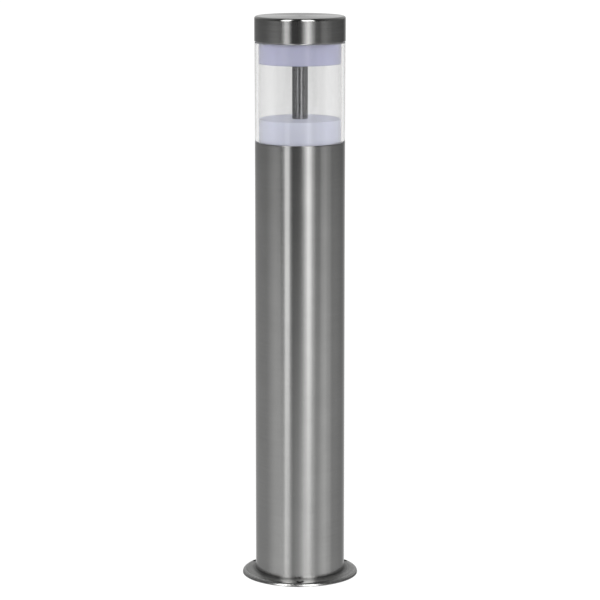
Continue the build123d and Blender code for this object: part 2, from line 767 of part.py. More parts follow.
# ---- Cable gland in the tray's foot: body, locknut, seal and compression nut ----
gland_at = (0, -gland_forward)
seal_seat_top = gland_foot + seal_length - seal_stand
with BuildPart() as gland_body:
    with BuildSketch(Plane.XY.offset(tab_foot)):
        with Locations(gland_at):
            RegularPolygon(gland_across / 2, 6, major_radius=False)
    extrude(amount=-gland_hex_height)
    with BuildSketch(Plane.XY.offset(gland_foot)):
        with Locations(gland_at):
            Circle(gland_thread_d / 2)
    extrude(amount=tab_top + gland_upper_thread - gland_foot)
    with BuildSketch(Plane.XY.offset(gland_foot)):
        with Locations(gland_at):
            Circle(gland_bore / 2)
    extrude(amount=tab_top + gland_upper_thread - gland_foot, mode=Mode.SUBTRACT)
    with BuildSketch(Plane.XY.offset(gland_foot)):
        with Locations(gland_at):
            Circle(seal_d / 2)
    extrude(amount=seal_seat_top - gland_foot, mode=Mode.SUBTRACT)
save(gland_body, "gland_body")
gland_nut_bore_r = gland_thread_d / 2 + thread_clearance
save(hex_nut(gland_across, gland_nut_bore_r, tab_top, locknut_thickness, gland_at), "gland_locknut")
with BuildPart() as gland_seal:
    with BuildSketch(Plane.XY.offset(gland_foot - seal_stand)):
        with Locations(gland_at):
            Circle(seal_d / 2 - seal_gap)
            Circle(cable_bore / 2, mode=Mode.SUBTRACT)
    extrude(amount=seal_length)
save(gland_seal, "gland_seal")
gland_nut_top = tab_foot - gland_hex_height - gland_nut_gap
gland_nut_inside = gland_foot - seal_stand - seal_gap
gland_nut_foot = gland_nut_inside - gland_nut_end
with BuildPart() as gland_nut:
    with BuildSketch(Plane.XY.offset(gland_nut_foot)):
        with Locations(gland_at):
            RegularPolygon(gland_across / 2, 6, major_radius=False)
    extrude(amount=gland_nut_top - gland_nut_foot)
    with BuildSketch(Plane.XY.offset(gland_nut_inside)):
        with Locations(gland_at):
            Circle(gland_nut_bore_r)
    extrude(amount=gland_nut_top - gland_nut_inside, mode=Mode.SUBTRACT)
    with BuildSketch(Plane.XY.offset(gland_nut_foot)):
        with Locations(gland_at):
            Circle(gland_bore / 2)
    extrude(amount=gland_nut_end, mode=Mode.SUBTRACT)
    chamfer(gland_nut.faces().sort_by(Axis.Z)[0].outer_wire().edges(), gland_nut_end / 2)
save(gland_nut, "gland_nut")

# ---- Leads ----
lead_start = case_rim - driver_lid_spigot - seat_gap - lead_d
jog_foot = driver_top + lead_jog_rise
jog_top = pipe_foot + lead_jog_gap


def pair(*leads):
    """Two leads of one circuit, kept as separate solids of one group."""
    with BuildPart() as group:
        for one in leads:
            add(one.part)
    return group


def upper_lead(x):
    """A lead up through the tie pipe and out of its window to the upper connector."""
    return lead(
        (x, 0, lead_start),
        (x, 0, lead_window),
        (x, -lead_pitch_radius, lead_window),
        (x, -lead_pitch_radius, upper_connector_foot),
    )


def lower_lead(x):
    """A lead up past the tie pipe and through the web to the lower connector."""
    return lead(
        (x, -lower_lead_front, lead_start),
        (x, -lower_lead_front, jog_foot),
        (x, -lead_pitch_radius, jog_top),
        (x, -lead_pitch_radius, lower_board_top),
    )


def mains_lead(pole, entry):
    """A lead from one pole of the terminal block up into the driver's foot."""
    return lead(
        (pole[0], pole[1], block_top - clamp_margin - lead_d),
        (pole[0], pole[1], block_top + block_lead_rise),
        (entry[0], entry[1], driver_foot - driver_lead_drop),
        (entry[0], entry[1], driver_foot + driver_wall + lead_d),
    )


save(pair(upper_lead(-lead_spread), upper_lead(lead_spread)), "upper_leads")
save(pair(lower_lead(-lead_spread), lower_lead(lead_spread)), "lower_leads")
save(mains_lead(pole_places[0], mains_leads_at[0]), "live_lead")
save(mains_lead(pole_places[2], mains_leads_at[1]), "neutral_lead")
earth_lead = lead(
    (0, pole_y, block_top - clamp_margin - lead_d),
    (0, pole_y, block_top + earth_lead_rise),
    (0, barrel_y, barrel_foot - earth_lead_drop),
    (0, barrel_y, barrel_foot + lug_barrel_length - 2 * lug_barrel_r),
)
save(earth_lead, "earth_lead")
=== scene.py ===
import json
import logging
import math
from dataclasses import dataclass, field
from enum import Enum

import bmesh
import bpy
from mathutils import Matrix, Vector

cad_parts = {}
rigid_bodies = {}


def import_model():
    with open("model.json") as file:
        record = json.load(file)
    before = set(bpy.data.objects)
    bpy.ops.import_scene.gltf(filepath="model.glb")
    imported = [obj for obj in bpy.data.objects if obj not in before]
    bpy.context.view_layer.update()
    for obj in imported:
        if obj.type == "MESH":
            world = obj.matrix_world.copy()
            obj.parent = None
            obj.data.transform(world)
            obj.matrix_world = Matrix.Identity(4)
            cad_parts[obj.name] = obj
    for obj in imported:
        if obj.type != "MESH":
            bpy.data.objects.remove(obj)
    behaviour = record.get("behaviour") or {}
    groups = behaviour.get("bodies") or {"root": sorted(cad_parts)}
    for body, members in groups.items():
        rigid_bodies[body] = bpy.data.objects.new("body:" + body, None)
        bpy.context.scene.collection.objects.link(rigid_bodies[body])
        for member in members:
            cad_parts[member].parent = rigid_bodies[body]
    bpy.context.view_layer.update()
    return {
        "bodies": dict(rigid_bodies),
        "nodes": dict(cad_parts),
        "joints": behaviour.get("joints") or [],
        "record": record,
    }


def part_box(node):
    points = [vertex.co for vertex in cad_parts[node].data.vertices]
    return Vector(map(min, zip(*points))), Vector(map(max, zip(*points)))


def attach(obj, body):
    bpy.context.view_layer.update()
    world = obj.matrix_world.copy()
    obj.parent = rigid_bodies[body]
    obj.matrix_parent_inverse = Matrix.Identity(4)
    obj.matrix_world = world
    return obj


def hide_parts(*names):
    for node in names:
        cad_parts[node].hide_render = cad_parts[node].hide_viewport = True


log = logging.getLogger("bollard")
logging.basicConfig(level=logging.INFO, format="%(name)s: %(message)s")

MM = 0.001
ROUND_STEPS = 192
OUTER_STEPS = 256  # for the post, the clear tube and the cap, whose outlines are the largest
SLIM_STEPS = 128
SHARP_DEG = 40.0
SUPPORT_MM = 0.06  # how far past a rounding its support ring lies
AXIS_SLACK = 1e-9  # in metres: a point nearer the axis than this is on it
MERGE_SLACK = 1e-7  # in metres: doubles nearer than this are merged
RING_SLACK = 2e-6  # in metres: how near its corner each point of a ring lies


class Body(Enum):
    """The moving bodies of the bollard, as the frame names them."""

    ROOT = "root"
    LENS = "lens"
    CAP_SEAT = "cap_seat"
    CAP = "cap"
    GLAND_NUT = "gland_nut"


# ---------------------------------------------------------------- shared helpers


def linear(code: str) -> tuple[float, float, float, float]:
    """Turns an sRGB hex colour into the linear values that a shader takes.

    Args:
        code: Six hex digits, with or without a leading hash.

    Returns:
        Linear red, green and blue, and an alpha of one.
    """
    digits = code.lstrip("#")
    levels = [int(digits[i : i + 2], 16) / 255 for i in (0, 2, 4)]
    turned = [v / 12.92 if v <= 0.04045 else ((v + 0.055) / 1.055) ** 2.4 for v in levels]
    return turned[0], turned[1], turned[2], 1.0


def add_node(
    tree: bpy.types.NodeTree,
    kind: str,
    settings: dict[str, object] | None = None,
    values: dict[str | int, object] | None = None,
    links: dict[str | int, bpy.types.NodeSocket] | None = None,
) -> bpy.types.Node:
    """Adds one node with its settings, its socket values and its incoming links.

    Args:
        tree: The node tree that the node joins.
        kind: The node's type name.
        settings: Attributes of the node itself.
        values: Constants for input sockets, by name or index.
        links: Output sockets to wire in, by the input's name or index.

    Returns:
        The new node.
    """
    node = tree.nodes.new(kind)
    for name, value in (settings or {}).items():
        setattr(node, name, value)
    for name, value in (values or {}).items():
        node.inputs[name].default_value = value
    for name, source in (links or {}).items():
        tree.links.new(source, node.inputs[name])
    return node


def set_ramp(node: bpy.types.Node, stops: list[tuple[float, float]]) -> None:
    """Fills a colour ramp with grey stops and eases between them.

    Args:
        node: The colour ramp node.
        stops: Pairs of place and grey level, from low to high.
    """
    ramp = node.color_ramp
    ramp.interpolation = "EASE"
    while len(ramp.elements) > 1:
        ramp.elements.remove(ramp.elements[-1])
    ramp.elements[0].position = stops[0][0]
    ramp.elements[0].color = (stops[0][1],) * 3 + (1.0,)
    for place, level in stops[1:]:
        ramp.elements.new(place).color = (level,) * 3 + (1.0,)


def per_metre(size_mm: float) -> float:
    """Gives how often a size in millimetres fits in a metre, which is a pattern's scale."""
    return 1 / (size_mm * MM)


def place_mesh(mesh: bpy.types.Mesh, name: str, sharp_deg: float = SHARP_DEG) -> bpy.types.Object:
    """Shades a mesh smooth and links it as an object at the origin.

    Args:
        mesh: The finished mesh, in metres in the row frame.
        name: The object's name.
        sharp_deg: Edges that turn more than this stay crisp.

    Returns:
        The new object.
    """
    mesh.shade_smooth()
    mesh.set_sharp_from_angle(angle=math.radians(sharp_deg))
    piece = bpy.data.objects.new(name, mesh)
    bpy.context.scene.collection.objects.link(piece)
    return piece


def finish_mesh(bm: bmesh.types.BMesh, name: str) -> bpy.types.Object:
    """Turns a bmesh into a linked, smooth-shaded object at the origin.

    Args:
        bm: The finished shape, in metres in the row frame. It is freed.
        name: The object's name.

    Returns:
        The new object.
    """
    mesh = bpy.data.meshes.new(name)
    bm.to_mesh(mesh)
    bm.free()
    return place_mesh(mesh, name)


@dataclass(frozen=True)
class Span:
    """How far a node that is turned about the Z axis reaches, in millimetres."""

    radius: float
    foot: float
    top: float

    @classmethod
    def of(cls, node: str) -> "Span":
        """Reads a node's span from the frame.

        Args:
            node: The node's name.

        Returns:
            Its outer radius, taken where its facets reach least, its foot and its top.
        """
        low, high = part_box(node)
        return cls(min(high[0], high[1], -low[0], -low[1]) / MM, low[2] / MM, high[2] / MM)


def span_of(node: str) -> Span:
    """Makes a dataclass field that reads a node's span from the frame."""
    return field(default_factory=lambda: Span.of(node))


Corner = tuple[float, float] | tuple[float, float, float]


def sleeve(span: Span, bore: float, edge: float, bore_edge: float = 0.0) -> list[Corner]:
    """Gives the half section of a plain ring or sleeve.

    Args:
        span: Its outer radius, foot and top.
        bore: Its inner radius, in millimetres.
        edge: The rounding of its outer edges.
        bore_edge: The rounding of its inner edges.

    Returns:
        Radius, level and rounding of each corner, in millimetres.
    """
    return [
        (span.radius, span.foot, edge),
        (span.radius, span.top, edge),
        (bore, span.top, bore_edge),
        (bore, span.foot, bore_edge),
    ]


def towards(start: Vector, end: Vector, reach: float) -> Vector | None:
    """Finds the point a given way along a side, if the side is long enough.

    Args:
        start: The corner that the point is measured from.
        end: The side's other corner.
        reach: The distance, in millimetres.

    Returns:
        The point, or nothing where the side ends first.
    """
    side = end - start
    return start + side.normalized() * reach if side.length > 2 * reach else None


def turned(corners: list[Corner], steps: int = ROUND_STEPS, segments: int = 4) -> bmesh.types.BMesh:
    """Turns a closed half outline about the Z axis into a closed shell, and rounds its corners.

    Each rounded corner gets a support ring on either side, so that the flats beside it shade flat.

    Args:
        corners: Radius, level and, where it is rounded, the rounding of each corner in millimetres, in
            order round the section.
        steps: How many faces go round.
        segments: Faces across each rounding.

    Returns:
        The shell, in metres, with its normals outward.
    """
    bm = bmesh.new()
    places = [Vector(corner[:2]) for corner in corners]
    sizes = [corner[2] if len(corner) > 2 else 0.0 for corner in corners]
    outline = []
    for number, (place, size) in enumerate(zip(places, sizes)):
        before, after = places[number - 1], places[(number + 1) % len(places)]
        reach = size + SUPPORT_MM
        trio = (towards(place, before, reach), place, towards(place, after, reach))
        outline += [point for point in trio if point is not None]
    verts = [bm.verts.new((p.x * MM, 0, p.y * MM)) for p in outline]
    edges = [bm.edges.new((one, two)) for one, two in zip(verts, verts[1:] + verts[:1])]
    on_axis = [e for e in edges if all(abs(v.co.x) < AXIS_SLACK for v in e.verts)]
    bmesh.ops.delete(bm, geom=on_axis, context="EDGES")
    bmesh.ops.spin(
        bm,
        geom=bm.verts[:] + bm.edges[:],
        axis=(0, 0, 1),
        cent=(0, 0, 0),
        angle=math.tau,
        steps=steps,
        use_merge=True,
    )
    bmesh.ops.remove_doubles(bm, verts=bm.verts[:], dist=MERGE_SLACK)
    bmesh.ops.recalc_face_normals(bm, faces=bm.faces[:])
    for place, size in zip(places, sizes):
        if not size:
            continue
        ring = [
            edge
            for edge in bm.edges
            if all(
                abs(math.hypot(v.co.x, v.co.y) - place.x * MM) < RING_SLACK
                and abs(v.co.z - place.y * MM) < RING_SLACK
                for v in edge.verts
            )
        ]
        bmesh.ops.bevel(
            bm,
            geom=ring,
            offset=size * MM,
            offset_type="OFFSET",
            segments=segments,
            profile=0.5,
            affect="EDGES",
            clamp_overlap=True,
            material=-1,
        )
    return bm


# ---------------------------------------------------------------- finishes


@dataclass(frozen=True)
class Finish:
    """A surface finish: what the real material is and the values its look starts from."""

    name: str
    colour: str
    roughness: float = 0.4
    metallic: float = 0.0

    def start(self) -> tuple[bpy.types.NodeTree, bpy.types.Node, bpy.types.NodeSocket]:
        """Makes the empty material with its surface shader.

        Returns:
            The node tree, the surface shader and the object coordinates.
        """
        material = bpy.data.materials.new(self.name)
        material.use_nodes = True
        tree = material.node_tree
        tree.nodes.clear()
        shader = add_node(
            tree,
            "ShaderNodeBsdfPrincipled",
            values={
                "Base Color": linear(self.colour),
                "Roughness": self.roughness,
                "Metallic": self.metallic,
            },
        )
        add_node(tree, "ShaderNodeOutputMaterial", links={"Surface": shader.outputs[0]})
        place = add_node(tree, "ShaderNodeTexCoord").outputs["Object"]
        return tree, shader, place

    def shades(
        self, tree: bpy.types.NodeTree, pattern: bpy.types.NodeSocket, tone: float
    ) -> bpy.types.NodeSocket:
        """Varies the finish's colour with a pattern.

        Args:
            tree: The material's node tree.
            pattern: The pattern, from nought to one.
            tone: How much darker and lighter the colour gets, as a share of itself.

        Returns:
            The varied colour.
        """
        base = Vector(linear(self.colour)[:3])
        ends = {6: (*(base * (1 - tone)), 1.0), 7: (*(base * (1 + tone)), 1.0)}
        return add_node(
            tree, "ShaderNodeMix", settings={"data_type": "RGBA"}, values=ends, links={0: pattern}
        ).outputs[2]

    def dress(self, tree: bpy.types.NodeTree, shader: bpy.types.Node, place: bpy.types.NodeSocket) -> None:
        """Adds the finish's own pattern; a plain finish has none."""

    def material(self) -> bpy.types.Material:
        """Gives the finish's material, made on first use.

        Returns:
            The material.
        """
        known = bpy.data.materials.get(self.name)
        if known is not None:
            return known
        tree, shader, place = self.start()
        self.dress(tree, shader, place)
        return bpy.data.materials[self.name]

    def put_on(self, piece: bpy.types.Object) -> None:
        """Gives the whole piece this finish in place of what it has."""
        piece.data.materials.clear()
        piece.data.materials.append(self.material())


@dataclass(frozen=True)
class BrushedStainless(Finish):
    """Stainless sheet belt-brushed round the axis: fine level scratches that draw each
    reflection out up and down, and keep it narrow from side to side."""

    metallic: float = 1.0
    stretch: float = 0.9
    scratch_mm: float = 0.9  # belt scratches are 0.1 mm apart, drawn coarser so that they show
    scratch_length_mm: float = 38.0
    scratch_raggedness: float = 0.62
    scratch_span: tuple[float, float] = (0.25, 0.75)  # where most of the noise's values fall
    scratch_gloss: tuple[float, float] = (0.9, 1.12)  # shares of the roughness across the scratches
    tone: float = 0.1
    cloud_mm: float = 26.0
    cloud_span: tuple[float, float] = (0.3, 0.7)
    cloud_shade: tuple[float, float] = (0.965, 1.03)
    bump: float = 0.05
    relief_mm: float = 0.1
    brush_turn: float = 0.25  # a quarter turn sets the stretch square to the scratches

    def dress(self, tree: bpy.types.NodeTree, shader: bpy.types.Node, place: bpy.types.NodeSocket) -> None:
        """Adds the scratches, slight clouding and the pull of the brushing.

        Args:
            tree: The material's node tree.
            shader: Its surface shader.
            place: Object coordinates.
        """
        along, across = per_metre(self.scratch_length_mm), per_metre(self.scratch_mm)
        stretched = add_node(
            tree, "ShaderNodeMapping", values={"Scale": (along, along, across)}, links={"Vector": place}
        )
        scratch = add_node(
            tree,
            "ShaderNodeTexNoise",
            values={"Scale": 1.0, "Detail": 3.0, "Roughness": self.scratch_raggedness},
            links={"Vector": stretched.outputs[0]},
        ).outputs[0]
        cloud = add_node(
            tree,
            "ShaderNodeTexNoise",
            values={"Scale": per_metre(self.cloud_mm), "Detail": 2.0},
            links={"Vector": place},
        ).outputs[0]
        glossy, dull = (share * self.roughness for share in self.scratch_gloss)
        rough = add_node(
            tree,
            "ShaderNodeMapRange",
            values=dict(enumerate((*self.scratch_span, glossy, dull), start=1)),
            links={0: scratch},
        ).outputs[0]
        shade = add_node(
            tree,
            "ShaderNodeMapRange",
            values=dict(enumerate((*self.cloud_span, *self.cloud_shade), start=1)),
            links={0: cloud},
        ).outputs[0]
        toned = add_node(
            tree,
            "ShaderNodeVectorMath",
            settings={"operation": "SCALE"},
            links={0: self.shades(tree, scratch, self.tone), "Scale": shade},
        ).outputs[0]
        relief = add_node(
            tree,
            "ShaderNodeBump",
            values={"Strength": self.bump, "Distance": self.relief_mm * MM},
            links={"Height": scratch},
        ).outputs[0]
        pull = add_node(
            tree, "ShaderNodeTangent", settings={"direction_type": "RADIAL", "axis": "Z"}
        ).outputs[0]
        tree.links.new(rough, shader.inputs["Roughness"])
        tree.links.new(toned, shader.inputs["Base Color"])
        tree.links.new(relief, shader.inputs["Normal"])
        tree.links.new(pull, shader.inputs["Tangent"])
        shader.inputs["Anisotropic"].default_value = self.stretch
        shader.inputs["Anisotropic Rotation"].default_value = self.brush_turn


@dataclass(frozen=True)
class TurnedStainless(Finish):
    """Stainless pressing finished on a turntable: rings of fine scratches round the axis over a
    slightly dimpled flat, a rim that the tool has burnished brighter, and a painted shade band that darkens
    the colour beside the post."""

    metallic: float = 1.0
    ring_mm: float = 1.1  # the rings are 0.1 mm apart, drawn coarser so that they show
    rings_per_turn: float = 7.0
    dimple_mm: float = 1.6
    dimple_share: float = 0.45  # of the grain, against the rings
    grain_span: tuple[float, float] = (0.36, 0.64)
    rim_from_mm: float = 46.2
    rim_to_mm: float = 47.0
    rim_roughness: float = 0.25
    post_mm: float = 38.05
    painted_shade_mm: float = 5.5  # painted shade: the colour darkens over a band this wide beside the post
    # how dark the painted shade beside the post gets, as a share of the colour
    painted_shade_tone: float = 0.4
    tone: float = 0.3
    bump: float = 0.6
    relief_mm: float = 0.1

    def dress(self, tree: bpy.types.NodeTree, shader: bpy.types.Node, place: bpy.types.NodeSocket) -> None:
        """Adds the rings, the dimples, the burnished rim and the painted shade band beside the post.

        Args:
            tree: The material's node tree.
            shader: Its surface shader.
            place: Object coordinates.
        """
        parts = add_node(tree, "ShaderNodeSeparateXYZ", links={0: place})
        flat = add_node(
            tree, "ShaderNodeCombineXYZ", links={0: parts.outputs[0], 1: parts.outputs[1]}
        ).outputs[0]
        radius = add_node(
            tree, "ShaderNodeVectorMath", settings={"operation": "LENGTH"}, links={0: flat}
        ).outputs["Value"]
        angle = add_node(
            tree,
            "ShaderNodeMath",
            settings={"operation": "ARCTAN2"},
            links={0: parts.outputs[1], 1: parts.outputs[0]},
        ).outputs[0]
        polar = add_node(
            tree, "ShaderNodeCombineXYZ", links={0: radius, 1: angle, 2: parts.outputs[2]}
        ).outputs[0]
        across = per_metre(self.ring_mm)
        drawn = add_node(
            tree,
            "ShaderNodeMapping",
            values={"Scale": (across, self.rings_per_turn / math.tau, across)},
            links={"Vector": polar},
        ).outputs[0]
        rings = add_node(
            tree, "ShaderNodeTexNoise", values={"Scale": 1.0, "Detail": 2.0}, links={"Vector": drawn}
        ).outputs[0]
        dimples = add_node(
            tree,
            "ShaderNodeTexNoise",
            values={"Scale": per_metre(self.dimple_mm), "Detail": 2.0},
            links={"Vector": place},
        ).outputs[0]
        grain = add_node(
            tree,
            "ShaderNodeMix",
            settings={"data_type": "FLOAT"},
            values={0: self.dimple_share},
            links={2: rings, 3: dimples},
        ).outputs[0]
        crisp = add_node(
            tree, "ShaderNodeMapRange", values=dict(enumerate(self.grain_span, start=1)), links={0: grain}
        ).outputs[0]
        # Painted shade: the colour is darkest at the post and comes back to full across the band.
        painted_shade_band = add_node(
            tree,
            "ShaderNodeMapRange",
            values={1: self.post_mm * MM, 2: (self.post_mm + self.painted_shade_mm) * MM, 3: self.painted_shade_tone, 4: 1.0},
            links={0: radius},
        ).outputs[0]
        toned = add_node(
            tree,
            "ShaderNodeVectorMath",
            settings={"operation": "SCALE"},
            links={0: self.shades(tree, crisp, self.tone), "Scale": painted_shade_band},
        ).outputs[0]
        rough = add_node(
            tree,
            "ShaderNodeMapRange",
            values={
                1: self.rim_from_mm * MM,
                2: self.rim_to_mm * MM,
                3: self.roughness,
                4: self.rim_roughness,
            },
            links={0: radius},
        ).outputs[0]
        relief = add_node(
            tree,
            "ShaderNodeBump",
            values={"Strength": self.bump, "Distance": self.relief_mm * MM},
            links={"Height": grain},
        ).outputs[0]
        tree.links.new(rough, shader.inputs["Roughness"])
        tree.links.new(toned, shader.inputs["Base Color"])
        tree.links.new(relief, shader.inputs["Normal"])


@dataclass(frozen=True)
class ClearPolycarbonate(Finish):
    """Extruded polycarbonate tube: clear and glossy, with faint draw lines up its length. Its colour is
    greyest looked at square on and lighter away from there, a painted reflection of the pale room."""

    square_on: str = "#e6e6e6"
    turning_span: tuple[float, float] = (0.055, 0.09)  # how far from square on the grey gives way
    roughness: float = 0.015
    ior: float = 1.58
    skin_gloss: float = 0.3
    wave_mm: float = 11.1
    wave_length_mm: float = 167.0
    bump: float = 0.03
    relief_mm: float = 0.1

    def dress(self, tree: bpy.types.NodeTree, shader: bpy.types.Node, place: bpy.types.NodeSocket) -> None:
        """Makes the shader clear and adds the faint waviness of the draw.

        Args:
            tree: The material's node tree.
            shader: Its surface shader.
            place: Object coordinates.
        """
        across, along = per_metre(self.wave_mm), per_metre(self.wave_length_mm)
        drawn = add_node(
            tree, "ShaderNodeMapping", values={"Scale": (across, across, along)}, links={"Vector": place}
        ).outputs[0]
        wave = add_node(
            tree, "ShaderNodeTexNoise", values={"Scale": 1.0, "Detail": 1.0}, links={"Vector": drawn}
        ).outputs[0]
        relief = add_node(
            tree,
            "ShaderNodeBump",
            values={"Strength": self.bump, "Distance": self.relief_mm * MM},
            links={"Height": wave},
        ).outputs[0]
        # Painted reflection: the colour lightens away from square on, standing in for the pale room mirrored
        # in the skins.
        facing = add_node(tree, "ShaderNodeLayerWeight", values={"Blend": 0.5}).outputs["Facing"]
        painted_reflection_share = add_node(
            tree, "ShaderNodeMapRange", values=dict(enumerate(self.turning_span, start=1)), links={0: facing}
        ).outputs[0]
        painted_reflection = add_node(
            tree,
            "ShaderNodeMix",
            settings={"data_type": "RGBA"},
            values={6: linear(self.square_on), 7: linear(self.colour)},
            links={0: painted_reflection_share},
        ).outputs[2]
        tree.links.new(painted_reflection, shader.inputs["Base Color"])
        tree.links.new(relief, shader.inputs["Normal"])
        shader.inputs["Transmission Weight"].default_value = 1.0
        shader.inputs["Specular IOR Level"].default_value = self.skin_gloss
        shader.inputs["IOR"].default_value = self.ior


@dataclass(frozen=True)
class OpalAcrylic(Finish):
    """Moulded opal acrylic: a satin skin over a milky body that light soaks into."""

    roughness: float = 0.3
    ior: float = 1.49
    milkiness: float = 0.35
    depth_mm: float = 3.0
    depth_by_colour: tuple[float, float, float] = (1.0, 1.0, 1.1)
    cloud_mm: float = 18.2
    tone: float = 0.03

    def dress(self, tree: bpy.types.NodeTree, shader: bpy.types.Node, place: bpy.types.NodeSocket) -> None:
        """Adds the milky depth and a faint moulded unevenness.

        Args:
            tree: The material's node tree.
            shader: Its surface shader.
            place: Object coordinates.
        """
        cloud = add_node(
            tree,
            "ShaderNodeTexNoise",
            values={"Scale": per_metre(self.cloud_mm), "Detail": 2.0},
            links={"Vector": place},
        ).outputs[0]
        tree.links.new(self.shades(tree, cloud, self.tone), shader.inputs["Base Color"])
        shader.inputs["IOR"].default_value = self.ior
        shader.inputs["Subsurface Weight"].default_value = self.milkiness
        shader.inputs["Subsurface Radius"].default_value = self.depth_by_colour
        shader.inputs["Subsurface Scale"].default_value = self.depth_mm * MM


@dataclass(frozen=True)
class Grained(Finish):
    """A finish with a fine random grain: castings, moulded plastic, plating or rubber."""

    grain_mm: float = 0.8
    grain_span: tuple[float, float] = (0.3, 0.7)  # where most of the noise's values fall
    tone: float = 0.06
    gloss_tone: float = 0.1
    bump: float = 0.08
    relief_mm: float = 0.2
    ior: float = 1.5

    def dress(self, tree: bpy.types.NodeTree, shader: bpy.types.Node, place: bpy.types.NodeSocket) -> None:
        """Adds the grain to the colour, the gloss and the relief.

        Args:
            tree: The material's node tree.
            shader: Its surface shader.
            place: Object coordinates.
        """
        grain = add_node(
            tree,
            "ShaderNodeTexNoise",
            values={"Scale": per_metre(self.grain_mm), "Detail": 3.0},
            links={"Vector": place},
        ).outputs[0]
        glossy = self.roughness * (1 - self.gloss_tone)
        dull = min(1.0, self.roughness * (1 + self.gloss_tone))
        rough = add_node(
            tree,
            "ShaderNodeMapRange",
            values=dict(enumerate((*self.grain_span, glossy, dull), start=1)),
            links={0: grain},
        ).outputs[0]
        relief = add_node(
            tree,
            "ShaderNodeBump",
            values={"Strength": self.bump, "Distance": self.relief_mm * MM},
            links={"Height": grain},
        ).outputs[0]
        tree.links.new(self.shades(tree, grain, self.tone), shader.inputs["Base Color"])
        tree.links.new(rough, shader.inputs["Roughness"])
        tree.links.new(relief, shader.inputs["Normal"])
        if not self.metallic:
            shader.inputs["IOR"].default_value = self.ior


POST_STEEL = BrushedStainless("brushed_stainless_post", "#a3a3a2", roughness=0.15)
FLANGE_STEEL = TurnedStainless("turned_stainless_flange", "#b2b2b1", roughness=0.46)
CAP_STEEL = BrushedStainless("brushed_stainless_cap", "#a3a3a2", roughness=0.14)
ROD_STEEL = BrushedStainless(
    "polished_stainless_rod",
    "#a8a8aa",
    roughness=0.14,
    scratch_mm=0.7,
    scratch_length_mm=12.0,
    bump=0.01,
)
CLEAR_TUBE = ClearPolycarbonate("clear_polycarbonate_tube", "#f3f3f3")
OPAL = OpalAcrylic("opal_acrylic_diffuser", "#e3e6fc")
# The upper cup is the same milky wall in a greyer colour, a painted shade for the dark of the cap behind it.
PAINTED_SHADE_OPAL = OpalAcrylic("opal_acrylic_painted_shade", "#c8c9e6")
# Silicone sheet is milky and grips dust, so its edge reads pale and dull.
SILICONE = Grained("silicone_gasket", "#9a9aa4", roughness=0.6, bump=0.04)

# What the frame's own nodes are made of, by the slot that the record gives each.
SLOT_FINISHES: dict[str, Finish] = {
    "post_steel": POST_STEEL,
    "bright_steel": ROD_STEEL,
    # A weld bead is a rippled grey skin, duller than the sheet beside it.
    "weld_steel": Grained(
        "weld_bead", "#8d8a86", roughness=0.45, metallic=1.0, grain_mm=1.5, tone=0.15, bump=0.4
    ),
    "clear_polycarbonate": CLEAR_TUBE,
    "opal_acrylic": OPAL,
    "gasket_silicone": SILICONE,
    # Die-cast aluminium has a fine pebbled skin and a soft grey sheen.
    "cast_aluminium": Grained("die_cast_aluminium", "#b9babb", roughness=0.5, metallic=1.0, bump=0.2),
    # Mill-finish sheet is brighter and flatter than the casting.
    "sheet_aluminium": Grained(
        "mill_aluminium_sheet", "#cfd0d1", roughness=0.36, metallic=1.0, grain_mm=2.0
    ),
    # Zinc plating is bright with a faint cloudy bloom.
    "zinc_steel": Grained(
        "zinc_plated_steel", "#bfc3c8", roughness=0.3, metallic=1.0, grain_mm=1.4, tone=0.1
    ),
    "board_white": Grained("white_solder_mask", "#edece7", roughness=0.35, grain_mm=0.5, tone=0.03),
    "led_phosphor": Grained("led_phosphor_gel", "#f0d860", roughness=0.25, grain_mm=0.3, tone=0.05),
    "white_nylon": Grained("moulded_white_nylon", "#e4e3de", roughness=0.48, tone=0.03),
    "board_green": Grained("green_solder_mask", "#1f5b36", roughness=0.3, grain_mm=0.5, tone=0.1),
    "coil_tape": Grained("polyester_coil_tape", "#d9b43a", roughness=0.28, grain_mm=1.5, tone=0.05),
    "capacitor_sleeve": Grained("capacitor_shrink_sleeve", "#1b1b20", roughness=0.3, grain_mm=1.0),
    "brass": Grained("turned_brass", "#c9a256", roughness=0.28, metallic=1.0, grain_mm=0.6),
    "tinned_copper": Grained("tinned_copper", "#c4c2bd", roughness=0.33, metallic=1.0, grain_mm=0.8),
    "black_nylon": Grained("moulded_black_nylon", "#161617", roughness=0.5, tone=0.1),
    "seal_rubber": Grained("moulded_seal_rubber", "#242424", roughness=0.75, tone=0.1),
    "lead_brown": Grained("brown_pvc_insulation", "#5b3219", roughness=0.42),
    "lead_blue": Grained("blue_pvc_insulation", "#2355a8", roughness=0.42),
    "lead_green": Grained("green_pvc_insulation", "#3c8a3a", roughness=0.42),
    "lead_red": Grained("red_pvc_insulation", "#b3241c", roughness=0.42),
}


# ---------------------------------------------------------------- sub-assemblies


